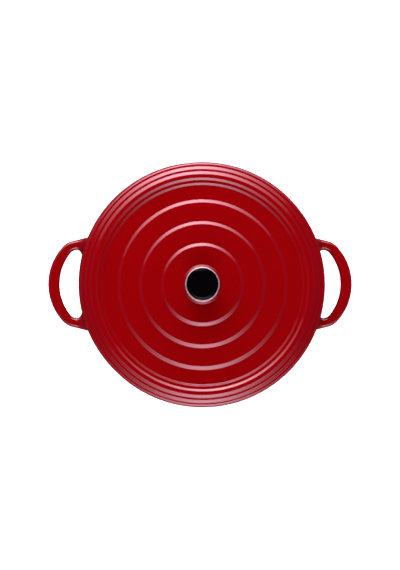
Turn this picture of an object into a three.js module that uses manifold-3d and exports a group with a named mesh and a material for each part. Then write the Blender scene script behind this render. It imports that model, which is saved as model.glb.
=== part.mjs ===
// Round enamelled cast iron dutch oven: a pot with two loop handles, a lid, and a knob fixed by a screw.
// Millimetres, +Z up. The origin is on the pot's axis, on the surface that the pot stands on.
// The loop handles point along -X and +X.

import * as THREE from "three";
import { LoftGeometry } from "three/addons/geometries/LoftGeometry.js";
import { mergeVertices } from "three/addons/utils/BufferGeometryUtils.js";
import Module from "manifold-3d";

// ---- Driving dimensions ----

// Pot
const mouthRadius = 139.5;
const potHeight = 125;
const wall = 3.8;
const floorThickness = 4.5;
const rimWidth = 4.6;
const rimBandHeight = 12;
const rimEdgeFillet = 1.4;
const wallDraft = 5; // how much further in the wall stands at the floor than at the rim
const baseFillet = 26;
const footInnerRadius = 98;
const footRecess = 1;

// Loop handles, measured from the rim's outer edge
const handleReach = 37.9;
const handleTopBelowRim = 15.5;
const gripWidth = 13.6;
const gripHeight = 9.6;
const shoulderWidth = 11.6;
const rootHeight = 15;
const loopHalfLength = 44.5; // from the handle's middle to the middle of the bar at its shoulder
const shoulderInset = 17.9; // how far the shoulder stands back from the middle of the grip
const loopSlope = 0.77; // how far the bar runs back for each millimetre that it runs sideways
const rootFlare = 0.25; // how far the bar runs outwards for each millimetre that it runs back
const shoulderFillet = 16;
const rootFillet = 7.7; // in plan, on the outside of the loop
const innerFilletAlong = 5.2; // in plan, inside the loop, measured along the bar
const innerFilletAcross = 8.5;
const rootPad = 2.4; // how far the wall stands out beside a root
const rootTopFillet = 4.5; // above and below the bar

// Lid
const lidOverhang = 0.9;
const lidThickness = 4;
const lidPlay = 3.6; // radial clearance between the lid's locating ring and the mouth
const lidRestGap = 0.6; // what is left of that clearance on the side that the lid has slid to
const lidSlideAngle = THREE.MathUtils.degToRad(-20); // the way it has slid, from +X towards +Y
const locatingRingWidth = 5;
const locatingRingDepth = 4;

// Steps of the lid's top, each as its height above the seat and its distance in from the lid's edge
const edgeHeight = 6.6;
const edgeFillet = 4;
const brimHeight = 7.7;
const brimInset = 5.6;
const ledgeHeight = 9.7;
const ledgeOuterInset = 8.7;
const ledgeInnerInset = 11.5;
const shelfHeight = 12.1;
const shelfOuterInset = 14.8;
const shelfInnerInset = 19.2;
const benchHeight = 10.3;
const benchOuterInset = 21.8;
const benchInnerInset = 25.2;
const troughHeight = 8.5;
const troughInset = 27.5;

// Ring-shaped terraces that step up towards the knob
const terraceCount = 3;
const terraceInset = 46.55; // to the outermost terrace; the others are evenly spaced between it and the boss
const terraceRise = 1.9;
const terraceRun = 3.3;
const terraceFillet = 5;
const crownPitch = 0.055; // rise of the top for each millimetre inwards, between the terraces

// Knob and its fixing
const bossRadius = 21.2;
const bossHeight = 2.2;
const bossSide = 1.5; // how far its side leans out down to the lid
const collarRadius = 20.3;
const collarHeight = 2.2;
const knobRadius = 18.5;
const knobHeight = 28;
const knobFootRadius = 13;
const knobWaistRadius = 10.5;
const knobBorderWidth = 2.4; // of the shallow slope round its flat top
const knobBorderDrop = 0.3;
const screwRadius = 3;
const screwHeadRadius = 6;
const screwHeadHeight = 3.2;
const screwHeadDrive = 1.3; // width of the cross recess
const insertRadius = 5;
const insertLength = 14;
const threadEngagement = 10;
const washerRadius = 9;
const washerThickness = 1.2;
const lockWasherRadius = 5.6;
const lockWasherThickness = 1.5;
const lockWasherSplit = 1;

// Fits
const restGap = 0.3; // between faces that touch
const screwClearance = 0.6; // around the screw in the holes that it passes through

// Fineness of the faceting
const castSegments = 48;
const knobSegments = 32;
const turnedSegments = 24;
const arcTolerance = 0.15; // how far an arc's chords may stand off it

// ---- Derived dimensions ----

const rimOuterRadius = mouthRadius + rimWidth;
const lidRadius = rimOuterRadius + lidOverhang;
const lidSlide = lidPlay - lidRestGap;
const locatingRingRadius = mouthRadius - lidPlay;
const screwHoleRadius = screwRadius + screwClearance;
const insertBoreRadius = screwRadius + restGap;
const knobPocketRadius = insertRadius + restGap;

const lidSeat = potHeight + restGap;
const bossFootRadius = bossRadius + bossSide;
const terraceSpacing = (lidRadius - terraceInset - bossRadius) / terraceCount;
const troughRadius = lidRadius - troughInset;
const crownRun = troughRadius - bossFootRadius - terraceCount * terraceRun;
const crownTop = troughHeight + crownPitch * crownRun + terraceCount * terraceRise;
const bossTop = crownTop + bossHeight;
const underBoss = crownTop - lidThickness;
const collarBase = lidSeat + bossTop + restGap;
const knobBase = collarBase + collarHeight + restGap;
const washerBase = lidSeat + underBoss - restGap - washerThickness;
const lockWasherBase = washerBase - restGap - lockWasherThickness;
const screwHeadBase = lockWasherBase - restGap - screwHeadHeight;

// ---- Materials ----

function finish(color, roughness, metalness) {
  return new THREE.MeshStandardMaterial({ color, roughness, metalness });
}

const redEnamel = finish(0xa00a0c, 0.15, 0);
const phenolic = finish(0x0c0b0c, 0.3, 0);
const stainless = finish(0xb9b7b6, 0.28, 1);
const zincSteel = finish(0x9a9c9e, 0.4, 1);
const brass = finish(0xb08d4a, 0.35, 1);

// ---- Shape helpers ----

// Turns a chain of corners [x, y] or [x, y, radius] into points, with an arc at each corner with a radius.
// Arcs that need more than the side between them share it. A closed chain joins its last corner to its first.
function filleted(corners, closed = false) {
  const places = corners.map(([x, y]) => new THREE.Vector2(x, y));
  const sideTo = (i, j) => places.at(j % places.length).clone().sub(places[i]);
  const turns = places.map((_, i) => Math.PI - sideTo(i, i - 1).angleTo(sideTo(i, i + 1)));
  const wanted = corners.map(([, , radius = 0], i) => (radius ? radius * Math.tan(turns[i] / 2) : 0));
  const shareWith = (i, j) => Math.min(1, sideTo(i, j).length() / (wanted[i] + wanted.at(j % places.length)));
  const points = [];
  const add = (point) => {
    if (!points.length || points.at(-1).distanceTo(point) > 1e-4) points.push(point);
  };
  places.forEach((here, i) => {
    if (!wanted[i]) {
      add(here);
      return;
    }
    const before = sideTo(i, i - 1).normalize();
    const after = sideTo(i, i + 1).normalize();
    const reach = wanted[i] * Math.min(shareWith(i, i - 1), shareWith(i, i + 1));
    const arcRadius = reach / Math.tan(turns[i] / 2);
    const inward = before.clone().add(after).normalize();
    const centre = here.clone().addScaledVector(inward, arcRadius / Math.cos(turns[i] / 2));
    const start = here.clone().addScaledVector(before, reach).sub(centre);
    const side = Math.sign(after.cross(before));
    const arcStep = 2 * Math.acos(1 - Math.min(arcTolerance / arcRadius, 0.5));
    const steps = Math.max(1, Math.ceil(turns[i] / arcStep));
    for (let step = 0; step <= steps; step += 1) {
      add(start.clone().rotateAround(new THREE.Vector2(), (side * turns[i] * step) / steps).add(centre));
    }
  });
  if (closed) points.push(points[0].clone());
  return points;
}

// A solid turned about +Z from a chain of [radius, height] corners.
// The chain runs round its section anticlockwise, from axis to axis or closed.
function turned(corners, { closed = false, segments = castSegments } = {}) {
  return new THREE.LatheGeometry(filleted(corners, closed), segments).rotateX(Math.PI / 2);
}

// ---- Joining and cutting ----

const wasm = await Module();
wasm.setup();

function toSolid(geometry) {
  const bare = new THREE.BufferGeometry();
  bare.setAttribute("position", geometry.getAttribute("position"));
  bare.setIndex(geometry.getIndex());
  const merged = mergeVertices(bare, 1e-4);
  return new wasm.Manifold(
    new wasm.Mesh({
      numProp: 3,
      vertProperties: merged.attributes.position.array,
      triVerts: new Uint32Array(merged.index.array),
    }),
  );
}

function toGeometry(solid) {
  const mesh = solid.getMesh();
  const geometry = new THREE.BufferGeometry();
  geometry.setAttribute("position", new THREE.BufferAttribute(mesh.vertProperties, 3));
  geometry.setIndex(new THREE.BufferAttribute(mesh.triVerts, 1));
  geometry.computeVertexNormals();
  return geometry;
}

// ---- Pot ----

// Radius of the wall's inner face at a height, with the mouth's radius at the rim.
const innerWallAt = (height) => mouthRadius - (wallDraft * (potHeight - height)) / potHeight;
const outerWallAt = (height) => innerWallAt(height) + wall;

function potBody() {
  const bandBase = potHeight - rimBandHeight;
  const lip = rimOuterRadius - outerWallAt(bandBase);
  return turned([
    [0, footRecess],
    [footInnerRadius - footRecess, footRecess],
    [footInnerRadius, 0],
    [outerWallAt(0), 0, baseFillet],
    [outerWallAt(bandBase - 2 * lip), bandBase - 2 * lip],
    [rimOuterRadius, bandBase],
    [rimOuterRadius, potHeight, rimEdgeFillet],
    [0, potHeight],
  ]);
}

function potCavity() {
  const above = potHeight + 1;
  return turned([
    [0, floorThickness],
    [innerWallAt(floorThickness), floorThickness, baseFillet - wall],
    [mouthRadius, potHeight - rimEdgeFillet / 2],
    [mouthRadius + rimEdgeFillet / 2, potHeight],
    [mouthRadius + rimEdgeFillet / 2, above],
    [0, above],
  ]);
}

const gripLine = rimOuterRadius + handleReach - gripWidth / 2;
const handleTop = potHeight - handleTopBelowRim;
const rootWallRadius = outerWallAt(handleTop - rootHeight / 2);

// Half of the middle line of a loop handle that points along +X, from its grip to inside the wall.
function halfLoop() {
  const shoulder = gripLine - shoulderInset;
  const gripCorner = loopHalfLength - shoulderInset / loopSlope;
  const gripArc = gripCorner / Math.tan(Math.atan(loopSlope) / 2);
  const buried = outerWallAt(0) - 3 * wall;
  return filleted([
    [gripLine, 0],
    [gripLine, gripCorner, gripArc],
    [shoulder, loopHalfLength, shoulderFillet],
    [buried, loopHalfLength + (shoulder - buried) * rootFlare],
  ]);
}

// How much an elliptical fillet widens the bar at a distance past the fillet's start.
function filletSpread(along, across, past) {
  return across * (1 - Math.sqrt(1 - THREE.MathUtils.clamp(past / along, 0, 1) ** 2));
}

// Points along half of the loop, with how far the root's fillets widen the bar inside and outside the loop.
function halfLoopStations() {
  const line = halfLoop();
  const [root, end] = line.slice(-2);
  const direction = end.clone().sub(root).normalize();
  const intoLoop = new THREE.Vector2(-direction.y, direction.x);
  const filletStart = (side, across, axisDistance) => {
    const centre = root.clone().addScaledVector(intoLoop, side * (shoulderWidth / 2 + across));
    const along = centre.dot(direction);
    return -along - Math.sqrt(along ** 2 - centre.lengthSq() + axisDistance ** 2);
  };
  const insideStart = filletStart(1, innerFilletAcross, rootWallRadius + rootPad + innerFilletAlong);
  const outsideStart = filletStart(-1, rootFillet, rootWallRadius + rootFillet);
  const shares = [0, 0.5, 0.8, 1];
  const places = [
    ...shares.map((share) => insideStart + share * innerFilletAlong),
    ...shares.map((share) => outsideStart + share * rootFillet),
  ];
  return [
    ...line.slice(0, -1).map((point) => ({ point, inside: 0, outside: 0 })),
    ...places.map((place) => ({
      point: root.clone().addScaledVector(direction, place),
      inside: filletSpread(innerFilletAlong, innerFilletAcross, place - insideStart),
      outside: filletSpread(rootFillet, rootFillet, place - outsideStart),
    })),
  ];
}

function loopHandle() {
  const sectionPoints = 12;
  const squareness = 0.62;
  const half = halfLoopStations();
  const mirrored = ({ point, ...spreads }) => ({ point: new THREE.Vector2(point.x, -point.y), ...spreads });
  const stations = [...half.slice(1).reverse().map(mirrored), ...half];
  const sections = stations.map(({ point, inside, outside }, i) => {
    const before = stations[Math.max(i - 1, 0)].point;
    const after = stations[Math.min(i + 1, stations.length - 1)].point;
    const along = after.clone().sub(before).normalize();
    const backFromGrip = THREE.MathUtils.clamp((gripLine - point.x) / shoulderInset, 0, 1);
    const rootShare = THREE.MathUtils.smoothstep(-point.x, -gripLine, -rootWallRadius);
    const width = THREE.MathUtils.lerp(gripWidth, shoulderWidth, backFromGrip);
    const height = THREE.MathUtils.lerp(gripHeight, rootHeight, rootShare ** 2);
    const pastTopFillet = rootTopFillet - (point.length() - rootWallRadius);
    const tall = height / 2 + filletSpread(rootTopFillet, rootTopFillet, pastTopFillet);
    const section = [];
    for (let k = 0; k < sectionPoints; k += 1) {
      const angle = (2 * Math.PI * (k + 0.5)) / sectionPoints;
      const across = Math.sign(Math.cos(angle)) * Math.abs(Math.cos(angle)) ** squareness;
      const up = Math.sign(Math.sin(angle)) * Math.abs(Math.sin(angle)) ** squareness;
      const sideways = across * (width / 2 + (across > 0 ? inside : outside));
      const z = handleTop - height / 2 + up * tall;
      section.push(new THREE.Vector3(point.x - along.y * sideways, point.y + along.x * sideways, z));
    }
    return section;
  });
  return new LoftGeometry(sections, { capStart: true, capEnd: true });
}

function potGeometry() {
  const rightHandle = toSolid(loopHandle());
  const leftHandle = toSolid(loopHandle().rotateZ(Math.PI));
  const joined = toSolid(potBody()).add(rightHandle).add(leftHandle);
  return toGeometry(joined.subtract(toSolid(potCavity())));
}

// ---- Lid, with its seat at height 0 and its axis at the origin ----

// The foot and the head of each terrace, from the outermost to the innermost, lowered by drop.
function terraceCorners(drop) {
  const corners = [];
  let height = troughHeight - drop;
  let from = troughRadius;
  for (let i = terraceCount; i > 0; i -= 1) {
    const foot = bossRadius + i * terraceSpacing + terraceRun / 2;
    const head = foot - terraceRun;
    height += crownPitch * (from - foot);
    corners.push([foot, height, terraceFillet], [head, height + terraceRise, terraceFillet]);
    height += terraceRise;
    from = head;
  }
  return corners;
}

function lidGeometry() {
  const ringInner = locatingRingRadius - locatingRingWidth;
  const at = (inset, height, fillet) => [lidRadius - inset, height, fillet];
  const underside = [
    [screwHoleRadius, underBoss],
    [bossFootRadius, underBoss],
    ...terraceCorners(lidThickness).reverse(),
    [troughRadius, troughHeight - lidThickness, 2],
    at(shelfInnerInset, shelfHeight - lidThickness, 2),
    [ringInner, shelfHeight - lidThickness, 2],
    [ringInner, -locatingRingDepth, 1.5],
    [locatingRingRadius, -locatingRingDepth, 1.5],
    [locatingRingRadius, 0],
  ];
  const top = [
    [lidRadius, 0, 1],
    [lidRadius, edgeHeight, edgeFillet],
    at(brimInset, brimHeight),
    at(ledgeOuterInset, ledgeHeight, 2),
    at(ledgeInnerInset, ledgeHeight),
    at(shelfOuterInset, shelfHeight, 1.6),
    at(shelfInnerInset, shelfHeight, 1.2),
    at(benchOuterInset, benchHeight),
    at(benchInnerInset, benchHeight),
    at(troughInset, troughHeight, 1.5),
    ...terraceCorners(0),
    [bossFootRadius, crownTop],
    [bossRadius, bossTop, 1],
    [screwHoleRadius, bossTop],
  ];
  return turned([...underside, ...top], { closed: true });
}

// ---- Knob and its fixing, each with its base at height 0 ----

function knobGeometry() {
  const headBase = 0.5 * knobHeight;
  return turned(
    [
      [0, insertLength + restGap],
      [knobPocketRadius, insertLength + restGap],
      [knobPocketRadius, 0],
      [knobFootRadius, 0, 1],
      [knobWaistRadius, 0.3 * knobHeight, 5],
      [knobRadius, headBase, 4],
      [knobRadius, knobHeight - knobBorderDrop],
      [knobRadius - knobBorderWidth, knobHeight],
      [0, knobHeight],
    ],
    { segments: knobSegments },
  );
}

function ringGeometry(innerRadius, outerRadius, height, fillet = 0) {
  return turned(
    [
      [innerRadius, 0],
      [outerRadius, 0],
      [outerRadius, height, fillet],
      [innerRadius, height],
    ],
    { closed: true, segments: turnedSegments },
  );
}

function screwGeometry() {
  const tip = knobBase - screwHeadBase + threadEngagement;
  const blank = turned(
    [
      [0, 0],
      [screwHeadRadius, 0, 2],
      [screwHeadRadius, screwHeadHeight],
      [screwRadius, screwHeadHeight],
      [screwRadius, tip - 1],
      [screwRadius - 1, tip],
      [0, tip],
    ],
    { segments: turnedSegments },
  );
  const recess = new THREE.BoxGeometry(1.2 * screwHeadRadius, screwHeadDrive, screwHeadHeight);
  const crossRecess = recess.clone().rotateZ(Math.PI / 2);
  return toGeometry(toSolid(blank).subtract(toSolid(recess)).subtract(toSolid(crossRecess)));
}

function lockWasherGeometry() {
  const ring = ringGeometry(screwHoleRadius, lockWasherRadius, lockWasherThickness);
  const split = new THREE.BoxGeometry(lockWasherRadius, lockWasherSplit, 3 * lockWasherThickness);
  split.translate(lockWasherRadius, 0, 0);
  return toGeometry(toSolid(ring).subtract(toSolid(split)));
}

// ---- Assembly ----

function piece(name, geometry, material, height = 0) {
  const mesh = new THREE.Mesh(geometry, material.clone());
  mesh.name = name;
  mesh.position.z = height;
  return mesh;
}

const dutchOven = new THREE.Group();
dutchOven.add(piece("pot", potGeometry(), redEnamel));

// The lid rests on the rim, slid to one side within its play, and carries the knob with it.
const lidGroup = new THREE.Group();
lidGroup.position.set(lidSlide * Math.cos(lidSlideAngle), lidSlide * Math.sin(lidSlideAngle), 0);
lidGroup.add(
  piece("lid", lidGeometry(), redEnamel, lidSeat),
  piece("knob_collar", ringGeometry(screwHoleRadius, collarRadius, collarHeight, 1), stainless, collarBase),
  piece("knob_grip", knobGeometry(), phenolic, knobBase),
  piece("knob_insert", ringGeometry(insertBoreRadius, insertRadius, insertLength), brass, knobBase),
  piece("knob_screw", screwGeometry(), zincSteel, screwHeadBase),
  piece("flat_washer", ringGeometry(screwHoleRadius, washerRadius, washerThickness), zincSteel, washerBase),
  piece("lock_washer", lockWasherGeometry(), zincSteel, lockWasherBase),
);
dutchOven.add(lidGroup);

export default dutchOven;
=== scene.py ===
"""Looks of a round enamelled cast iron dutch oven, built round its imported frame.

Metres, +Z up. The pot's axis is the frame's Z axis and the loop handles point along -X and +X.
Each casting is turned from a chain of corners, and its handles are lofted and joined to it.
"""

import math

import bmesh
import bpy
import numpy as np
from mathutils import Matrix, Vector


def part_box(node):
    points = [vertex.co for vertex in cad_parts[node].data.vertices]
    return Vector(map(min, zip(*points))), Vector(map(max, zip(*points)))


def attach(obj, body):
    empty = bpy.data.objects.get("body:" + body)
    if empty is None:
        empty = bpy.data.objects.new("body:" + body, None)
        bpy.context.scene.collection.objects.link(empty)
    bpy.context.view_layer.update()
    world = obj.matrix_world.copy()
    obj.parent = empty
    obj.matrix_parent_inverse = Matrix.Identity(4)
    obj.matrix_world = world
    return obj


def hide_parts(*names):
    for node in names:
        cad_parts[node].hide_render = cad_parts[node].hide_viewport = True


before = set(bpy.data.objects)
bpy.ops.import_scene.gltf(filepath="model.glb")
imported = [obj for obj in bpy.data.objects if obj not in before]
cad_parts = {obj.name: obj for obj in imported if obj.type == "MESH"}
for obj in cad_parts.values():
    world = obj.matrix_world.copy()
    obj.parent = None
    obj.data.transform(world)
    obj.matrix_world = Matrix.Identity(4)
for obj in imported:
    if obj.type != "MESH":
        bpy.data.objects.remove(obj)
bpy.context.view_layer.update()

MM = 0.001

# ---- Dimensions read from the frame ----

POT_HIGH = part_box("pot")[1]
LID_LOW, LID_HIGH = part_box("lid")
COLLAR_LOW, COLLAR_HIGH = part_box("knob_collar")
KNOB_LOW, KNOB_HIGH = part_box("knob_grip")
INSERT_LOW, INSERT_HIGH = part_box("knob_insert")
SCREW_LOW, SCREW_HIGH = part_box("knob_screw")
WASHER_LOW, WASHER_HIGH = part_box("flat_washer")
SPRING_LOW, SPRING_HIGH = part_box("lock_washer")

RIM_HEIGHT = POT_HIGH.z
RIM_RADIUS = POT_HIGH.y
HANDLE_TIP = POT_HIGH.x
LID_RADIUS = (LID_HIGH.x - LID_LOW.x) / 2
LID_AXIS = (LID_LOW + LID_HIGH) / 2
LID_AXIS.z = 0
KNOB_RADIUS = (KNOB_HIGH.x - KNOB_LOW.x) / 2
REST_GAP = 0.3 * MM  # between faces that touch

# ---- Pot ----

RIM_WIDTH = 4.6 * MM
WALL = 3.8 * MM
FLOOR = 4.5 * MM
RIM_BAND = 12 * MM
RIM_FILLET = 1.4 * MM
WALL_DRAFT = 5 * MM
BASE_FILLET = 26 * MM
FOOT_INNER = 98 * MM
FOOT_RECESS = 1 * MM
MOUTH_RADIUS = RIM_RADIUS - RIM_WIDTH

# ---- Loop handles ----

GRIP_WIDTH = 13.6 * MM
GRIP_HEIGHT = 9.6 * MM
SHOULDER_WIDTH = 11.6 * MM
ROOT_HEIGHT = 15 * MM
LOOP_HALF_LENGTH = 44.5 * MM
SHOULDER_INSET = 17.9 * MM
LOOP_SLOPE = 0.77  # how far the bar runs back for each millimetre that it runs sideways
ROOT_FLARE = 0.25  # how far the bar runs outwards for each millimetre that it runs back
SHOULDER_FILLET = 16 * MM
ROOT_FILLET = 7.7 * MM  # on the outside of the loop
INNER_FILLET_ALONG = 5.2 * MM  # inside the loop, measured along the bar
INNER_FILLET_ACROSS = 8.5 * MM
ROOT_PAD = 2.4 * MM  # how far the wall stands out beside a root
ROOT_TOP_FILLET = 4.5 * MM
HANDLE_DROP = 15.5 * MM
HANDLE_TOP = RIM_HEIGHT - HANDLE_DROP
GRIP_LINE = HANDLE_TIP - GRIP_WIDTH / 2

# ---- Lid, with its heights measured from the seat ----

SEAT = RIM_HEIGHT + REST_GAP
LID_PLAY = 3.6 * MM  # radial clearance between the locating ring and the mouth
LOCATING_DEPTH = SEAT - LID_LOW.z
LOCATING_RADIUS = MOUTH_RADIUS - LID_PLAY
LOCATING_WIDTH = 5 * MM
LID_THICKNESS = 4 * MM
EDGE_HEIGHT = 7.0 * MM
EDGE_FILLET = 4 * MM
SHELF_HEIGHT = 12.2 * MM
SHELF_INSET = 19.2 * MM
TROUGH_HEIGHT = 8.5 * MM
TROUGH_INSET = 27.5 * MM
TROUGH_RADIUS = LID_RADIUS - TROUGH_INSET
# Corners of the stepped border: inset from the lid's edge, height and fillet
BORDER = [
    (5.6 * MM, 7.45 * MM, 2 * MM),  # brim
    (8.7 * MM, 9.85 * MM, 2 * MM),  # ledge
    (11.5 * MM, 9.9 * MM, 1.4 * MM),
    (14.8 * MM, 12.05 * MM, 2.2 * MM),  # shelf
    (SHELF_INSET, SHELF_HEIGHT, 1.8 * MM),
    (21.8 * MM, 10.4 * MM, 1.4 * MM),  # bench
    (25.2 * MM, 10.15 * MM, 1.2 * MM),
    (TROUGH_INSET, TROUGH_HEIGHT, 1.8 * MM),
]
BOSS_RADIUS = 21.2 * MM
BOSS_HEIGHT = 2.2 * MM
BOSS_SIDE = 1.5 * MM  # how far its side leans out down to the lid
BOSS_TOP = LID_HIGH.z - SEAT
TERRACE_COUNT = 3
TERRACE_INSET = 46.55 * MM  # to the outermost; the others are evenly spaced between it and the boss
TERRACE_RISE = 1.9 * MM
TERRACE_RUN = 3.3 * MM
TERRACE_FILLET = 5 * MM
TERRACE_SPACING = (LID_RADIUS - TERRACE_INSET - BOSS_RADIUS) / TERRACE_COUNT
CROWN_PITCH = 0.055  # rise of the top for each millimetre inwards, between the terraces

# ---- Knob ----

KNOB_FOOT_RADIUS = 13 * MM
KNOB_WAIST_RADIUS = 10.5 * MM
KNOB_WAIST_SHARE = 0.3  # height of the waist, of the knob's height
KNOB_BROW_SHARE = 0.5  # height at which it reaches its full radius
KNOB_BORDER_DROP = 0.3 * MM  # from the flat top to the knob's edge
KNOB_BORDER_WIDTH = 2.4 * MM

# ---- Knob fixing ----

SCREW_RADIUS = 3 * MM
SCREW_CLEARANCE = 0.6 * MM
SCREW_HOLE = SCREW_RADIUS + SCREW_CLEARANCE
SCREW_HEAD_HEIGHT = 3.2 * MM
SCREW_RUNOUT = 1.2 * MM  # plain shank under the head
SCREW_POINT = 1 * MM  # chamfer at the end of the thread
RELIEF_POINTS = 8  # along one pitch of the thread or across one diamond of the knurling
THREAD_PITCH = 1 * MM
THREAD_DEPTH = 0.35 * MM
THREAD_STEP = THREAD_PITCH / RELIEF_POINTS
KNURL_COUNT = 24
KNURL_PITCH = 1.3 * MM  # height of one diamond
KNURL_DEPTH = 0.3 * MM
KNURL_STEP = KNURL_PITCH / RELIEF_POINTS
INSERT_GROOVE = 0.8 * MM  # depth and half height of the groove between the knurled bands
INSERT_LAND = 0.7 * MM  # plain height at each end
INSERT_CHAMFER = 0.2 * MM
SPLIT_WIDTH = 1 * MM
SPLIT_RISE = 0.35 * MM  # how far the spring washer's ends stand apart in height
WIRE_CHAMFER = 0.15 * MM
# The cross recess: height above the head's face, half length and half width
RECESS_LEVELS = [
    (-0.5 * MM, 3.6 * MM, 0.72 * MM),
    (0.6 * MM, 3 * MM, 0.62 * MM),
    (2.4 * MM, 1.2 * MM, 0.4 * MM),
]

# ---- Fineness ----

FILLET_STEPS = 8
LOOP_STEPS = 16
SQUARENESS = 0.62  # of a handle section: 1 is an ellipse and 0 a rectangle
SUPPORT = 0.12 * MM  # from the end of a straight run to the extra point beside it
CAST_SEGMENTS = 256
TURNED_SEGMENTS = 96

# ---- Camera and studio ----

VIEW_HEIGHT = 1.70  # from the lid's edge to the lens
LID_EDGE_PLANE = SEAT + 4.6 * MM  # height of the lid's outline, seen from above
FIELD_AT_LID = 0.6731  # what the picture's long side takes in at the lid's edge
VIEW_OFFSET = -0.022  # the lens stands this far towards the front
AIM = Vector((0, -0.00155, LID_EDGE_PLANE))
SENSOR = 36.0
LIGHT_DISTANCE = 1.35
LIGHT_TINT = (1.0, 0.88, 0.96)
WALL_GLOW = 0.16
CEILING_GLOW = 0.004


def make_camera():
    data = bpy.data.cameras.new("camera")
    data.sensor_width = SENSOR
    data.lens = SENSOR * VIEW_HEIGHT / FIELD_AT_LID
    data.clip_start = 0.05
    data.clip_end = 50
    camera = bpy.data.objects.new("camera", data)
    bpy.context.collection.objects.link(camera)
    camera.location = AIM + Vector((0, VIEW_OFFSET, VIEW_HEIGHT))
    camera.rotation_euler = (math.atan2(-VIEW_OFFSET, VIEW_HEIGHT), 0, 0)
    bpy.context.scene.camera = camera


def softbox(name, azimuth, elevation, size, strength, fade):
    """A rectangular light on a bearing in degrees, anticlockwise from +X, that faces the lid.

    It is brightest in its middle, and fade is how many degrees to the side it has dropped to 0.6 of that.
    """
    data = bpy.data.lights.new(name, "AREA")
    data.shape = "RECTANGLE"
    data.size, data.size_y = size
    data.energy = strength
    data.color = LIGHT_TINT
    data.use_nodes = True
    tree = data.node_tree
    glow = tree.nodes["Emission"]
    across = add(tree, "ShaderNodeNewGeometry").outputs["Parametric"]
    sideways = add(tree, "ShaderNodeSeparateXYZ", {0: across}).outputs["X"]
    span = size[0] / (LIGHT_DISTANCE * math.cos(math.radians(elevation)))
    offset = spread(tree, sideways, 0, 1, -span / 2, span / 2)
    bearing = add(tree, "ShaderNodeMath", {0: offset}, operation="ARCTANGENT").outputs[0]
    share = add(tree, "ShaderNodeMath", {0: bearing, 1: math.radians(fade)}, operation="DIVIDE").outputs[0]
    square = add(tree, "ShaderNodeMath", {0: share, 1: 2.0}, operation="POWER").outputs[0]
    drop = add(tree, "ShaderNodeMath", {0: square, 1: -0.5}, operation="MULTIPLY").outputs[0]
    bell = add(tree, "ShaderNodeMath", {0: drop}, operation="EXPONENT").outputs[0]
    tree.links.new(bell, glow.inputs["Strength"])
    light = bpy.data.objects.new(name, data)
    turn, rise = math.radians(azimuth), math.radians(elevation)
    away = Vector((math.cos(rise) * math.cos(turn), math.cos(rise) * math.sin(turn), math.sin(rise)))
    light.location = Vector((0, 0, RIM_HEIGHT)) + LIGHT_DISTANCE * away
    light.rotation_euler = (-away).to_track_quat("-Z", "Y").to_euler()
    light.visible_camera = False
    bpy.context.collection.objects.link(light)


def make_studio():
    """A wide softbox behind, a weaker and taller one in front, and faint walls under a dark ceiling."""
    softbox("light_back", azimuth=98, elevation=29, size=(3.6, 1.15), strength=153, fade=22.5)
    softbox("light_front", azimuth=-89, elevation=36, size=(3.6, 1.45), strength=107, fade=21)
    world = bpy.data.worlds.new("studio")
    world.use_nodes = True
    bpy.context.scene.world = world
    tree = world.node_tree
    tree.nodes.clear()
    way = add(tree, "ShaderNodeTexCoord").outputs["Generated"]
    up = add(tree, "ShaderNodeSeparateXYZ", {0: way}).outputs["Z"]
    walls = spread(tree, up, 0.7, 0.95, WALL_GLOW, CEILING_GLOW)
    dim = add(tree, "ShaderNodeBackground", {"Color": (0.7, 0.42, 1, 1), "Strength": walls})
    pale = add(tree, "ShaderNodeBackground", {"Color": (0.97, 0.965, 0.98, 1), "Strength": 1.0})
    seen = add(tree, "ShaderNodeLightPath").outputs["Is Camera Ray"]
    mix = add(tree, "ShaderNodeMixShader", {0: seen, 1: dim.outputs[0], 2: pale.outputs[0]})
    add(tree, "ShaderNodeOutputWorld", {"Surface": mix.outputs[0]})


def make_floor():
    """A floor that looks white and throws only a little light back."""
    mesh = bpy.data.meshes.new("floor")
    shape = bmesh.new()
    bmesh.ops.create_circle(shape, cap_ends=True, segments=96, radius=9)
    shape.to_mesh(mesh)
    shape.free()
    floor = bpy.data.objects.new("floor", mesh)
    bpy.context.collection.objects.link(floor)
    material, tree, surface = new_material("floor_paper")
    seen = add(tree, "ShaderNodeLightPath").outputs["Is Camera Ray"]
    tone = blend_colours(tree, seen, (0.05, 0.05, 0.055, 1), (0.82, 0.82, 0.83, 1))
    tree.links.new(tone, surface.inputs["Base Color"])
    surface.inputs["Roughness"].default_value = 0.9
    surface.inputs["Emission Color"].default_value = (1, 1, 1, 1)
    tree.links.new(spread(tree, seen, 0, 1, 0, 0.78), surface.inputs["Emission Strength"])
    mesh.materials.append(material)


# ---- Shader helpers ----

# Places of a mix node's colour sockets, which share their names with its other kinds
MIX_FACTOR, MIX_FIRST, MIX_SECOND, MIX_RESULT = 0, 6, 7, 2


def add(tree, kind, sockets=None, **settings):
    """A new node with its settings, and its sockets set to values or linked to other sockets."""
    node = tree.nodes.new(kind)
    for name, value in settings.items():
        setattr(node, name, value)
    for socket, value in (sockets or {}).items():
        if isinstance(value, bpy.types.NodeSocket):
            tree.links.new(value, node.inputs[socket])
        else:
            node.inputs[socket].default_value = value
    return node


def new_material(name):
    """A material with one principled surface, its node tree and that surface."""
    material = bpy.data.materials.new(name)
    material.use_nodes = True
    tree = material.node_tree
    tree.nodes.clear()
    surface = add(tree, "ShaderNodeBsdfPrincipled")
    add(tree, "ShaderNodeOutputMaterial", {"Surface": surface.outputs[0]})
    return material, tree, surface


def noise(tree, scale, detail=3.0, roughness=0.5):
    """Noise in the object's own metres, with scale cells in each."""
    spot = add(tree, "ShaderNodeTexCoord").outputs["Object"]
    values = {"Vector": spot, "Scale": scale, "Detail": detail, "Roughness": roughness}
    return add(tree, "ShaderNodeTexNoise", values).outputs["Fac"]


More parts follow.
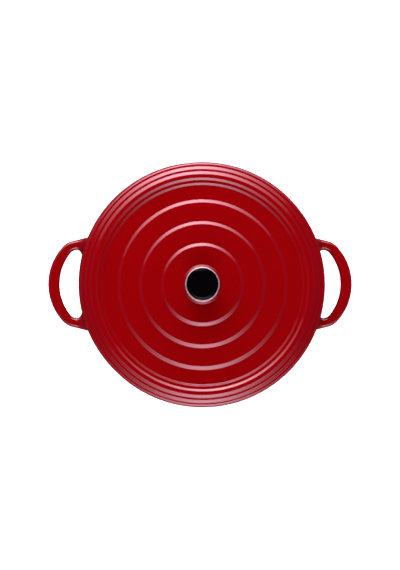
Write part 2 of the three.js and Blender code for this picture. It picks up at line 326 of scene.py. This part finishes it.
def spread(tree, value, low, high, to_low=0.0, to_high=1.0):
    """Maps value from low..high to to_low..to_high, held at both ends."""
    ends = {"Value": value, "From Min": low, "From Max": high, "To Min": to_low, "To Max": to_high}
    return add(tree, "ShaderNodeMapRange", ends).outputs["Result"]


def blend_colours(tree, factor, first, second):
    """Runs from the first colour to the second as factor runs from 0 to 1."""
    sockets = {MIX_FACTOR: factor, MIX_FIRST: first, MIX_SECOND: second}
    return add(tree, "ShaderNodeMix", sockets, data_type="RGBA").outputs[MIX_RESULT]


def darker(colour, share):
    """A share of a colour's brightness, still opaque."""
    return tuple(share * part for part in colour[:3]) + (1,)


def bumps(tree, surface, layers):
    """Stacks bump layers of (height socket, depth in metres) on a surface."""
    normal = None
    for height, depth in layers:
        sockets = {"Height": height, "Distance": depth, "Strength": 1.0}
        if normal:
            sockets["Normal"] = normal
        normal = add(tree, "ShaderNodeBump", sockets).outputs["Normal"]
    tree.links.new(normal, surface.inputs["Normal"])


# ---- Materials ----

PAINTED_SHADE_REACH = 9 * MM  # how near other enamel has to be for painted shade to darken a corner
PAINTED_SHADE_DEPTH = 0.3  # brightness of the painted corner shade, as a share of the deep colour
PIT_COLOUR = (0.02, 0.01, 0.01, 1)
PIT_DEPTH = 0.05 * MM
PEEL_DEPTH = 0.01 * MM
WAVE_DEPTH = 0.02 * MM
RED_THIN = (0.175, 0.0004, 0.0012, 1)
RED_DEEP = (0.162, 0.0003, 0.001, 1)
RED_GLINT = (1.0, 0.72, 0.8, 1)
SAND_THIN = (0.62, 0.53, 0.38, 1)
SAND_DEEP = (0.57, 0.475, 0.33, 1)
GLINT_LEVEL = 0.67  # strength of a tinted glint; 0.5 is what the index of refraction gives by itself
TURNING_LINES = 2500.0  # cells in a metre
TURNING_DEPTH = 0.004 * MM


def enamel(name, colour, deep, roughness, pits, glint=None):
    """Vitreous enamel on iron: glossy and a little wavy, with painted shade that darkens its corners.

    pits is the strength of its pinholes, and glint tints what it reflects straight on.
    """
    material, tree, surface = new_material(name)
    clouds = spread(tree, noise(tree, 14, 4), 0.35, 0.7)
    tone = blend_colours(tree, clouds, colour, deep)
    # painted shade: ambient occlusion darkens the colour in corners and hollows
    painted_shade_occlusion = add(tree, "ShaderNodeAmbientOcclusion", {"Distance": PAINTED_SHADE_REACH}, only_local=True, samples=8)
    corner = spread(tree, painted_shade_occlusion.outputs["AO"], 0.5, 0.92, 0.7, 0)
    tone = blend_colours(tree, corner, tone, darker(deep, PAINTED_SHADE_DEPTH))
    spot = add(tree, "ShaderNodeTexCoord").outputs["Object"]
    cells = add(tree, "ShaderNodeTexVoronoi", {"Vector": spot, "Scale": 420.0})
    rare = spread(tree, noise(tree, 90, 2), 0.6, 0.68)
    hole = spread(tree, cells.outputs["Distance"], 0.05, 0.11, 1, 0)
    speck = add(tree, "ShaderNodeMath", {0: hole, 1: rare}, operation="MULTIPLY").outputs[0]
    speck = add(tree, "ShaderNodeMath", {0: speck, 1: pits}, operation="MULTIPLY").outputs[0]
    tone = blend_colours(tree, speck, tone, PIT_COLOUR)
    tree.links.new(tone, surface.inputs["Base Color"])
    smears = spread(tree, noise(tree, 40, 5, 0.6), 0.3, 0.75, roughness * 0.8, roughness * 1.5)
    tree.links.new(smears, surface.inputs["Roughness"])
    surface.inputs["IOR"].default_value = 1.5
    if glint:
        surface.inputs["Specular Tint"].default_value = glint
        surface.inputs["Specular IOR Level"].default_value = GLINT_LEVEL
    bumps(tree, surface, [
        (noise(tree, 45, 2), WAVE_DEPTH),
        (noise(tree, 700, 2), PEEL_DEPTH),
        (spread(tree, speck, 0, 1, 1, 0), PIT_DEPTH),
    ])
    return material


def rim_enamel():
    """The thin dark matt ground coat left on the rim and the seat."""
    material, tree, surface = new_material("rim_ground_coat")
    mottle = spread(tree, noise(tree, 260, 6, 0.65), 0.3, 0.7)
    tone = blend_colours(tree, mottle, (0.016, 0.012, 0.012, 1), (0.045, 0.034, 0.032, 1))
    tree.links.new(tone, surface.inputs["Base Color"])
    tree.links.new(spread(tree, mottle, 0, 1, 0.38, 0.62), surface.inputs["Roughness"])
    bumps(tree, surface, [(noise(tree, 1500, 4), 0.03 * MM), (noise(tree, 160, 3), 0.05 * MM)])
    return material


def phenolic():
    """Black moulded resin, polished by use."""
    material, tree, surface = new_material("phenolic")
    flecks = spread(tree, noise(tree, 1800, 4, 0.7), 0.35, 0.75)
    tone = blend_colours(tree, flecks, (0.0005, 0.0004, 0.0006, 1), (0.0011, 0.0009, 0.0012, 1))
    tree.links.new(tone, surface.inputs["Base Color"])
    rub = spread(tree, noise(tree, 120, 5, 0.6), 0.3, 0.7, 0.07, 0.12)
    tree.links.new(rub, surface.inputs["Roughness"])
    surface.inputs["IOR"].default_value = 1.46
    bumps(tree, surface, [(noise(tree, 2600, 3), 0.002 * MM), (noise(tree, 180, 2), 0.01 * MM)])
    return material


def turned_metal(name, colour, roughness):
    """Metal with fine turning marks round its axis."""
    material, tree, surface = new_material(name)
    spot = add(tree, "ShaderNodeTexCoord").outputs["Object"]
    centred = add(tree, "ShaderNodeVectorMath", {0: spot, 1: LID_AXIS}, operation="SUBTRACT").outputs[0]
    flat = add(tree, "ShaderNodeVectorMath", {0: centred, 1: (1, 1, 0)}, operation="MULTIPLY").outputs[0]
    radius = add(tree, "ShaderNodeVectorMath", {0: flat}, operation="LENGTH").outputs["Value"]
    height = add(tree, "ShaderNodeSeparateXYZ", {0: centred}).outputs["Z"]
    rings = add(tree, "ShaderNodeCombineXYZ", {0: radius, 1: height}).outputs[0]
    lines = add(tree, "ShaderNodeTexNoise", {"Vector": rings, "Scale": TURNING_LINES, "Detail": 3.0})
    marks = lines.outputs["Fac"]
    shade = spread(tree, marks, 0.3, 0.7)
    tone = blend_colours(tree, shade, darker(colour, 0.78), colour)
    tree.links.new(tone, surface.inputs["Base Color"])
    surface.inputs["Metallic"].default_value = 1.0
    smear = spread(tree, noise(tree, 150, 4), 0.3, 0.7, roughness * 0.8, roughness * 1.3)
    tree.links.new(smear, surface.inputs["Roughness"])
    bumps(tree, surface, [(marks, TURNING_DEPTH)])
    return material


RED = enamel("red_enamel", RED_THIN, RED_DEEP, roughness=0.075, pits=0.06, glint=RED_GLINT)
SAND = enamel("sand_enamel", SAND_THIN, SAND_DEEP, roughness=0.14, pits=0.8)
GROUND = rim_enamel()
PHENOLIC = phenolic()
# the collar steel's pink tint is a painted reflection of the red lid
STAINLESS_PAINTED_REFLECTION = turned_metal("turned_stainless_painted_reflection", (0.58, 0.44, 0.455, 1), 0.48)
ZINC = turned_metal("zinc_plate", (0.55, 0.56, 0.58, 1), 0.34)
BRASS = turned_metal("turned_brass", (0.66, 0.47, 0.2, 1), 0.3)


# ---- Shape helpers ----


def rounded(corners, fillet_steps=FILLET_STEPS):
    """Points round a chain of (x, y) or (x, y, fillet radius) corners, and the corner that each belongs to.

    Fillets that need more than the side between them share it.
    """
    count = len(corners)
    places = [np.array(corner[:2], float) for corner in corners]
    sides = [places[(i + 1) % count] - places[i] for i in range(count)]
    lengths = [np.linalg.norm(side) for side in sides]
    turns, wanted = [], []
    for i, corner in enumerate(corners):
        cosine = -sides[i - 1] @ sides[i] / (lengths[i - 1] * lengths[i])
        turns.append(math.pi - math.acos(np.clip(cosine, -1, 1)))
        wanted.append(corner[2] * math.tan(turns[i] / 2) if len(corner) > 2 else 0)
    points, owners = [], []
    for i, here in enumerate(places):
        if wanted[i] < 1e-9:
            points.append(here)
            owners.append(i)
            continue
        room_before = lengths[i - 1] / (wanted[i] + wanted[i - 1])
        room_after = lengths[i] / (wanted[i] + wanted[(i + 1) % count])
        reach = wanted[i] * min(1, room_before, room_after)
        before, after = -sides[i - 1] / lengths[i - 1], sides[i] / lengths[i]
        arc_radius = reach / math.tan(turns[i] / 2)
        inward = (before + after) / np.linalg.norm(before + after)
        centre = here + inward * arc_radius / math.cos(turns[i] / 2)
        start = here + before * reach - centre
        way = np.sign(after[0] * before[1] - after[1] * before[0])
        for step in range(fillet_steps + 1):
            angle = way * turns[i] * step / fillet_steps
            cosine, sine = math.cos(angle), math.sin(angle)
            point = centre + (start[0] * cosine - start[1] * sine, start[0] * sine + start[1] * cosine)
            if not points or np.linalg.norm(points[-1] - point) > 1e-7:
                points.append(point)
                owners.append(i)
    return points, owners


def supported(points, owners, closed):
    """Adds a point near both ends of each long straight run."""
    out, out_owners = [], []
    last = len(points) if closed else len(points) - 1
    for i in range(last):
        here, there = points[i], points[(i + 1) % len(points)]
        length = np.linalg.norm(there - here)
        out.append(here)
        out_owners.append(owners[i])
        if length > 6 * SUPPORT:
            for share in (SUPPORT / length, 1 - SUPPORT / length):
                out.append(here + (there - here) * share)
                out_owners.append(owners[i])
    if not closed:
        out.append(points[-1])
        out_owners.append(owners[-1])
    return out, out_owners


def revolve(name, corners, materials, slots=None, base=0.0, axis=(0, 0, 0), closed=False,
            segments=CAST_SEGMENTS, reliefs=None):
    """A mesh object turned about a vertical axis.

    slots gives each corner's place in materials. reliefs gives corners a function of (angle, height)
    that says how far their ring is pushed outwards there.
    """
    points, owners = supported(*rounded(corners), closed)
    reliefs = reliefs or {}
    slots = slots or [0] * len(corners)
    shape = bmesh.new()
    rings = []
    for (radius, height), owner in zip(points, owners):
        if radius < 1e-9:
            rings.append([shape.verts.new((axis[0], axis[1], base + height))])
            continue
        ring = []
        for k in range(segments):
            angle = 2 * math.pi * k / segments
            reach = radius + (reliefs[owner](angle, height) if owner in reliefs else 0)
            x, y = axis[0] + reach * math.cos(angle), axis[1] + reach * math.sin(angle)
            ring.append(shape.verts.new((x, y, base + height)))
        rings.append(ring)
    pairs = len(rings) if closed else len(rings) - 1
    for i in range(pairs):
        low, high = rings[i], rings[(i + 1) % len(rings)]
        for k in range(segments):
            after = (k + 1) % segments
            below = [low[k % len(low)], low[after % len(low)]]
            above = [high[after % len(high)], high[k % len(high)]]
            face = shape.faces.new(list(dict.fromkeys(below + above)))
            face.material_index = slots[owners[i]]
            face.smooth = True
    return finished(name, shape, materials)


def finished(name, shape, materials):
    """An object made from a bmesh, with its faces turned outwards."""
    bmesh.ops.recalc_face_normals(shape, faces=shape.faces)
    mesh = bpy.data.meshes.new(name)
    shape.to_mesh(mesh)
    shape.free()
    for material in materials:
        mesh.materials.append(material)
    made = bpy.data.objects.new(name, mesh)
    bpy.context.collection.objects.link(made)
    return made


def boolean(target, tool, operation):
    """Joins or cuts target with tool, which is then gone."""
    change = target.modifiers.new("boolean", "BOOLEAN")
    change.operation = operation
    change.object = tool
    change.solver = "EXACT"
    bpy.context.view_layer.update()
    graph = bpy.context.evaluated_depsgraph_get()
    mesh = bpy.data.meshes.new_from_object(target.evaluated_get(graph), depsgraph=graph)
    target.modifiers.clear()
    target.data = mesh
    bpy.data.objects.remove(tool)


def place(piece, body, slot, *nodes):
    """Puts a piece on its body and in the place of the frame's nodes, which it hides. slot is not used."""
    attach(piece, body)
    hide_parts(*nodes)


# ---- Pot ----


def inner_wall(height):
    return MOUTH_RADIUS - WALL_DRAFT * (RIM_HEIGHT - height) / RIM_HEIGHT


def outer_wall(height):
    return inner_wall(height) + WALL


def make_pot_casting():
    band = RIM_HEIGHT - RIM_BAND
    lip = RIM_RADIUS - outer_wall(band)
    outside = [
        (0, FOOT_RECESS),
        (FOOT_INNER - FOOT_RECESS, FOOT_RECESS, 1.5 * MM),
        (FOOT_INNER, 0, 1 * MM),
        (outer_wall(0), 0, BASE_FILLET),
        (outer_wall(band - 3 * lip), band - 3 * lip, 3 * MM),
        (RIM_RADIUS, band, 3 * MM),
        (RIM_RADIUS, RIM_HEIGHT, RIM_FILLET),
    ]
    rim = [
        (RIM_RADIUS - RIM_FILLET - 0.4 * MM, RIM_HEIGHT),
        (MOUTH_RADIUS, RIM_HEIGHT, RIM_FILLET / 2),
    ]
    inside = [
        (inner_wall(RIM_HEIGHT - 3 * MM), RIM_HEIGHT - 3 * MM),
        (inner_wall(FLOOR), FLOOR, BASE_FILLET - WALL),
        (0, FLOOR),
    ]
    slots = [0] * len(outside) + [1] * len(rim) + [2] * len(inside)
    return revolve("pot_casting", outside + rim + inside, [RED, GROUND, SAND], slots)


ROOT_WALL = outer_wall(HANDLE_TOP - ROOT_HEIGHT / 2)


def make_core():
    """The pot's hollow, a little larger, to trim what a handle's root would put into it."""
    bury = 1.2 * MM
    corners = [
        (0, FLOOR - bury),
        (inner_wall(FLOOR) + bury, FLOOR - bury, BASE_FILLET - WALL),
        (MOUTH_RADIUS + bury, RIM_HEIGHT + bury),
        (0, RIM_HEIGHT + bury),
    ]
    return revolve("core", corners, [RED])


def half_loop():
    """Half of a handle's middle line in plan, from its grip to inside the wall."""
    shoulder = GRIP_LINE - SHOULDER_INSET
    grip_corner = LOOP_HALF_LENGTH - SHOULDER_INSET / LOOP_SLOPE
    grip_arc = grip_corner / math.tan(math.atan(LOOP_SLOPE) / 2)
    buried = MOUTH_RADIUS - 12 * MM  # past the wall, where the core trims it
    corners = [
        (GRIP_LINE, 0),
        (GRIP_LINE, grip_corner, grip_arc),
        (shoulder, LOOP_HALF_LENGTH, SHOULDER_FILLET),
        (buried, LOOP_HALF_LENGTH + (shoulder - buried) * ROOT_FLARE),
    ]
    points, owners = rounded(corners, fillet_steps=LOOP_STEPS)
    return [point for point, owner in zip(points, owners) if owner < 3], points[-1]


def fillet_spread(along, across, past):
    """How much an elliptical fillet widens the bar at a distance past the fillet's start."""
    share = min(max(past / along, 0), 1)
    return across * (1 - math.sqrt(1 - share * share))


def half_loop_stations():
    """(point, spread inside the loop, spread outside it) along half of the loop."""
    line, end = half_loop()
    root = line[-1]
    direction = (end - root) / np.linalg.norm(end - root)
    into_loop = np.array((-direction[1], direction[0]))

    def fillet_start(side, across, wall_distance):
        centre = root + into_loop * side * (SHOULDER_WIDTH / 2 + across)
        along = centre @ direction
        return -along - math.sqrt(along**2 - centre @ centre + wall_distance**2)

    inside = fillet_start(1, INNER_FILLET_ACROSS, ROOT_WALL + ROOT_PAD + INNER_FILLET_ALONG)
    outside = fillet_start(-1, ROOT_FILLET, ROOT_WALL + ROOT_FILLET)
    steps = [math.sin(math.pi / 2 * step / LOOP_STEPS) for step in range(LOOP_STEPS + 1)]
    distances = [inside + INNER_FILLET_ALONG * step for step in steps]
    distances += [outside + ROOT_FILLET * step for step in steps]
    stations = [(point, 0, 0) for point in line]
    for distance in distances:
        spreads = (
            fillet_spread(INNER_FILLET_ALONG, INNER_FILLET_ACROSS, distance - inside),
            fillet_spread(ROOT_FILLET, ROOT_FILLET, distance - outside),
        )
        stations.append((root + direction * distance, *spreads))
    return stations


def handle_section(point, along, spreads, count):
    """Points round the bar where it passes a point, thicker and taller towards the wall."""
    back = np.clip((GRIP_LINE - point[0]) / SHOULDER_INSET, 0, 1)
    root = np.clip((GRIP_LINE - point[0]) / (GRIP_LINE - ROOT_WALL), 0, 1)
    root = root * root * (3 - 2 * root)
    width = GRIP_WIDTH + (SHOULDER_WIDTH - GRIP_WIDTH) * back
    height = GRIP_HEIGHT + (ROOT_HEIGHT - GRIP_HEIGHT) * root**2
    past = ROOT_TOP_FILLET - (math.hypot(*point) - ROOT_WALL)
    tall = height / 2 + fillet_spread(ROOT_TOP_FILLET, ROOT_TOP_FILLET, past)
    corners = []
    for k in range(count):
        angle = 2 * math.pi * (k + 0.5) / count
        across = math.copysign(abs(math.cos(angle)) ** SQUARENESS, math.cos(angle))
        up = math.copysign(abs(math.sin(angle)) ** SQUARENESS, math.sin(angle))
        sideways = across * (width / 2 + spreads[0 if across > 0 else 1])
        z = HANDLE_TOP - height / 2 + up * tall
        corners.append((point[0] - along[1] * sideways, point[1] + along[0] * sideways, z))
    return corners


def make_handle():
    """One loop handle along +X, with fillets that run out along the pot's wall at its roots."""
    half = half_loop_stations()
    other_half = [(point * (1, -1), inside, outside) for point, inside, outside in half[:0:-1]]
    stations = other_half + half
    section_points = 48
    shape = bmesh.new()
    loops = []
    for i, (point, *spreads) in enumerate(stations):
        along = stations[min(i + 1, len(stations) - 1)][0] - stations[max(i - 1, 0)][0]
        along = along / np.linalg.norm(along)
        corners = handle_section(point, along, spreads, section_points)
        loops.append([shape.verts.new(corner) for corner in corners])
    for low, high in zip(loops, loops[1:]):
        for k in range(section_points):
            after = (k + 1) % section_points
            shape.faces.new([low[k], low[after], high[after], high[k]]).smooth = True
    shape.faces.new(loops[0])
    shape.faces.new(reversed(loops[-1]))
    return finished("handle", shape, [RED])


def make_pot():
    pot = make_pot_casting()
    for turn in (0, math.pi):
        handle = make_handle()
        boolean(handle, make_core(), "DIFFERENCE")
        handle.rotation_euler.z = turn
        boolean(pot, handle, "UNION")
    place(pot, "pot", "pot_enamel", "pot")


# ---- Lid ----


def terraces(drop):
    """The foot and the head of each terrace, from the outermost to the innermost, lowered by drop."""
    corners = []
    height = TROUGH_HEIGHT - drop
    start = TROUGH_RADIUS
    for i in range(TERRACE_COUNT, 0, -1):
        foot = BOSS_RADIUS + i * TERRACE_SPACING + TERRACE_RUN / 2
        head = foot - TERRACE_RUN
        height += CROWN_PITCH * (start - foot)
        corners += [(foot, height, TERRACE_FILLET), (head, height + TERRACE_RISE, TERRACE_FILLET)]
        height += TERRACE_RISE
        start = head
    return corners


def make_lid():
    ring_inner = LOCATING_RADIUS - LOCATING_WIDTH
    boss_foot = BOSS_RADIUS + BOSS_SIDE
    under_boss = BOSS_TOP - BOSS_HEIGHT - LID_THICKNESS
    under_shelf = SHELF_HEIGHT - LID_THICKNESS
    underside = [
        (SCREW_HOLE, under_boss),
        (boss_foot, under_boss, 3 * MM),
        *reversed(terraces(LID_THICKNESS)),
        (TROUGH_RADIUS, TROUGH_HEIGHT - LID_THICKNESS, 3 * MM),
        (LID_RADIUS - SHELF_INSET, under_shelf, 3 * MM),
        (ring_inner, under_shelf, 3 * MM),
    ]
    seat = [
        (ring_inner, -LOCATING_DEPTH, 1.5 * MM),
        (LOCATING_RADIUS, -LOCATING_DEPTH, 1.5 * MM),
        (LOCATING_RADIUS, 0, 0.8 * MM),
        (LID_RADIUS - 1.4 * MM, 0),
    ]
    top = [
        (LID_RADIUS, 0, 1 * MM),
        (LID_RADIUS, EDGE_HEIGHT, EDGE_FILLET),
        *[(LID_RADIUS - inset, height, fillet) for inset, height, fillet in BORDER],
        *terraces(0),
        (boss_foot, BOSS_TOP - BOSS_HEIGHT, 1 * MM),
        (BOSS_RADIUS, BOSS_TOP, 1.6 * MM),
        (SCREW_HOLE, BOSS_TOP),
    ]
    slots = [2] * len(underside) + [1] * len(seat) + [0] * len(top)
    slots[-1] = 1  # the screw hole's wall
    lid = revolve("lid_casting", underside + seat + top, [RED, GROUND, SAND], slots, SEAT, LID_AXIS, True)
    place(lid, "lid", "lid_enamel", "lid")


# ---- Knob and its fixing ----


def make_knob():
    height = KNOB_HIGH.z - KNOB_LOW.z
    pocket = (INSERT_HIGH.x - INSERT_LOW.x) / 2 + REST_GAP
    depth = INSERT_HIGH.z - KNOB_LOW.z + REST_GAP
    corners = [
        (0, depth),
        (pocket, depth),
        (pocket, 0),
        (KNOB_FOOT_RADIUS, 0, 1 * MM),
        (KNOB_WAIST_RADIUS, KNOB_WAIST_SHARE * height, 5 * MM),
        (KNOB_RADIUS, KNOB_BROW_SHARE * height, 4 * MM),
        (KNOB_RADIUS, height - KNOB_BORDER_DROP, 0.25 * MM),
        (KNOB_RADIUS - KNOB_BORDER_WIDTH + 0.2 * MM, height - 0.14 * MM),
        (KNOB_RADIUS - KNOB_BORDER_WIDTH, height),
        (0, height),
    ]
    knob = revolve("knob_grip_moulding", corners, [PHENOLIC], None, KNOB_LOW.z, LID_AXIS)
    place(knob, "lid", "knob_phenolic", "knob_grip")


def make_ring(name, low, high, fillet, material, slot, node):
    """A flat ring round the screw, as wide and as high as a box, with its top edge rounded most."""
    outer = (high.x - low.x) / 2
    height = high.z - low.z
    corners = [
        (SCREW_HOLE, 0, fillet / 2),
        (outer, 0, fillet / 2),
        (outer, height, fillet),
        (SCREW_HOLE, height, fillet / 2),
    ]
    ring = revolve(name, corners, [material], None, low.z, LID_AXIS, True, TURNED_SEGMENTS)
    place(ring, "lid", slot, node)


def ridge(share):
    """A triangular wave that is 1 at whole numbers and 0 halfway between them."""
    return abs(2 * (share % 1) - 1)


def thread(depth):
    """How far a screw thread is cut into a surface at an angle and a height."""
    return lambda angle, height: depth * (ridge(height / THREAD_PITCH - angle / (2 * math.pi)) - 1)


def knurl(angle, height):
    """Diamond knurling, as two sets of crossing helical grooves."""
    turn, climb = KNURL_COUNT * angle / (2 * math.pi), height / KNURL_PITCH
    return KNURL_DEPTH * (min(ridge(turn + climb), ridge(turn - climb)) - 1)


def stack(radius, low, high, step):
    """Corners up a wall, close enough together to carry a relief."""
    count = math.ceil(abs(high - low) / step)
    return [(radius, low + (high - low) * k / count) for k in range(count + 1)]


def chain(*runs):
    """Joins runs of (corners, relief or None) into one chain of corners and its reliefs."""
    corners, reliefs = [], {}
    for run, relief in runs:
        if relief:
            reliefs |= {len(corners) + k: relief for k in range(len(run))}
        corners += run
    return corners, reliefs


def make_insert():
    """A brass insert with two knurled bands, a groove between them, and a threaded bore."""
    outer = (INSERT_HIGH.x - INSERT_LOW.x) / 2
    waist = outer - INSERT_GROOVE
    end = outer - 0.5 * MM
    length = INSERT_HIGH.z - INSERT_LOW.z
    bore = SCREW_RADIUS + REST_GAP + THREAD_DEPTH
    groove_low, groove_high = length / 2 - INSERT_GROOVE, length / 2 + INSERT_GROOVE
    top = length - INSERT_LAND
    corners, reliefs = chain(
        ([(bore, 0), (end, 0), (end, INSERT_LAND - INSERT_CHAMFER)], None),
        (stack(outer, INSERT_LAND, groove_low, KNURL_STEP), knurl),
        ([(waist, groove_low + 0.1 * MM, 0.3 * MM), (waist, groove_high - 0.1 * MM, 0.3 * MM)], None),
        (stack(outer, groove_high, top, KNURL_STEP), knurl),
        ([(end, top + INSERT_CHAMFER), (end, length), (bore, length)], None),
        (stack(bore, top, INSERT_LAND, THREAD_STEP), thread(THREAD_DEPTH)),
    )
    insert = revolve("threaded_insert", corners, [BRASS], None, INSERT_LOW.z, LID_AXIS, True,
                     KNURL_COUNT * RELIEF_POINTS, reliefs)
    place(insert, "lid", "insert_brass", "knob_insert")


def recess_arm():
    """A wedge that cuts one arm of the cross recess, wide at the head's face and narrow at its depth."""
    shape = bmesh.new()
    sides = [(-1, -1), (1, -1), (1, 1), (-1, 1)]
    rings = []
    for height, half_length, half_width in RECESS_LEVELS:
        rings.append([
            shape.verts.new((LID_AXIS.x + x * half_length, LID_AXIS.y + y * half_width, SCREW_LOW.z + height))
            for x, y in sides
        ])
    for low, high in zip(rings, rings[1:]):
        for k in range(len(sides)):
            after = (k + 1) % len(sides)
            shape.faces.new([low[k], low[after], high[after], high[k]])
    shape.faces.new(rings[0])
    shape.faces.new(rings[-1])
    return finished("recess_arm", shape, [ZINC])


def quarter_turn():
    """A quarter of a turn about the lid's axis."""
    there = Matrix.Translation(LID_AXIS)
    return there @ Matrix.Rotation(math.pi / 2, 4, "Z") @ there.inverted()


def make_screw():
    """A pan head screw with a cross recess below and a thread that runs up into the insert."""
    head = (SCREW_HIGH.x - SCREW_LOW.x) / 2
    length = SCREW_HIGH.z - SCREW_LOW.z
    pan = [
        (0, 0),
        (head, 0, 2 * MM),
        (head, SCREW_HEAD_HEIGHT, 0.3 * MM),
        (SCREW_RADIUS, SCREW_HEAD_HEIGHT),
    ]
    shank = stack(SCREW_RADIUS, SCREW_HEAD_HEIGHT + SCREW_RUNOUT, length - SCREW_POINT, THREAD_STEP)
    point = [(SCREW_RADIUS - SCREW_POINT, length), (0, length)]
    corners, reliefs = chain((pan, None), (shank, thread(THREAD_DEPTH)), (point, None))
    screw = revolve("cross_head_screw", corners, [ZINC], None, SCREW_LOW.z, LID_AXIS, False, TURNED_SEGMENTS,
                    reliefs)
    boolean(screw, recess_arm(), "DIFFERENCE")
    second = recess_arm()
    second.data.transform(quarter_turn())
    boolean(screw, second, "DIFFERENCE")
    place(screw, "lid", "fixing_steel", "knob_screw")


def make_spring_washer():
    """One turn of square wire, split at +X, with its ends sprung apart in height."""
    outer = (SPRING_HIGH.x - SPRING_LOW.x) / 2
    height = SPRING_HIGH.z - SPRING_LOW.z
    half_width, half_height = (outer - SCREW_HOLE) / 2, (height - SPLIT_RISE) / 2
    flat_x, flat_z = half_width - WIRE_CHAMFER, half_height - WIRE_CHAMFER
    section = [
        (half_width, -flat_z), (half_width, flat_z), (flat_x, half_height), (-flat_x, half_height),
        (-half_width, flat_z), (-half_width, -flat_z), (-flat_x, -half_height), (flat_x, -half_height),
    ]
    middle = (outer + SCREW_HOLE) / 2
    half_gap = math.asin(SPLIT_WIDTH / 2 / middle)
    shape = bmesh.new()
    rings = []
    for k in range(TURNED_SEGMENTS + 1):
        share = k / TURNED_SEGMENTS
        angle = half_gap + (2 * math.pi - 2 * half_gap) * share
        lift = SPRING_LOW.z + half_height + SPLIT_RISE * share
        rings.append([
            shape.verts.new((
                LID_AXIS.x + (middle + x) * math.cos(angle),
                LID_AXIS.y + (middle + x) * math.sin(angle),
                lift + z,
            ))
            for x, z in section
        ])
    for low, high in zip(rings, rings[1:]):
        for k in range(len(section)):
            after = (k + 1) % len(section)
            shape.faces.new([low[k], low[after], high[after], high[k]])
    shape.faces.new(rings[0])
    shape.faces.new(rings[-1])
    washer = finished("split_washer", shape, [ZINC])
    place(washer, "lid", "fixing_steel", "lock_washer")


def make_fixing():
    make_ring("collar_ring", COLLAR_LOW, COLLAR_HIGH, 1 * MM, STAINLESS_PAINTED_REFLECTION, "collar_stainless", "knob_collar")
    make_ring("plain_washer", WASHER_LOW, WASHER_HIGH, 0.3 * MM, ZINC, "fixing_steel", "flat_washer")
    make_insert()
    make_screw()
    make_spring_washer()


make_camera()
make_studio()
make_floor()
make_pot()
make_lid()
make_knob()
make_fixing()

bpy.context.scene.view_settings.view_transform = "Standard"
